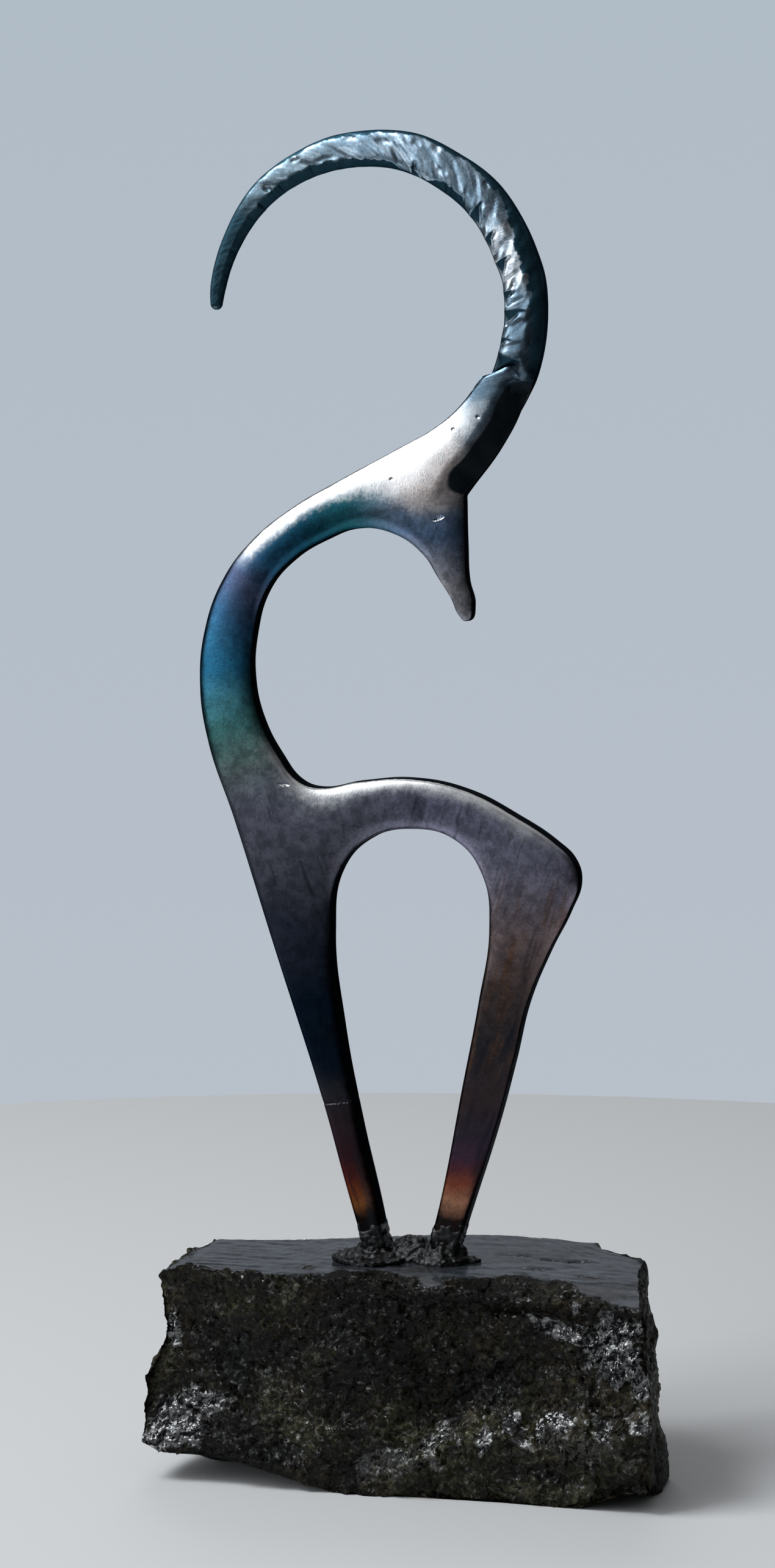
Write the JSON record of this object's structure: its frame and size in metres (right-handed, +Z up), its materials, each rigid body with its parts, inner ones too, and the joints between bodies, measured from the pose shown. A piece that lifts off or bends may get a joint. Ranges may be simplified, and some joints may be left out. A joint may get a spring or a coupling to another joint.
{
  "type": "antelope sculpture",
  "caption": "Stylised antelope of forged, heat-coloured steel with a long ridged horn curving back in an arc, standing on a rough block of dark varnished stone.",
  "frame": {"origin": "middle of the stone's flat underside", "axes": "+Z up, +X the way the animal looks, -Y out of the figure's front face"},
  "size_m": [0.1139, 0.0539, 0.2936],
  "materials": {
    "steel": "forged, hand-hammered and heat-coloured from blue and teal on the neck to violet and copper on the legs",
    "grit": "black gritty setting compound, glossy",
    "stone": "rough dark granular stone under a glossy varnish, smoother on top"
  },
  "bodies": {
    "root": {"antelope_figure": "steel", "foot_setting": "grit", "stone_base": "stone"}
  },
  "joints": []
}
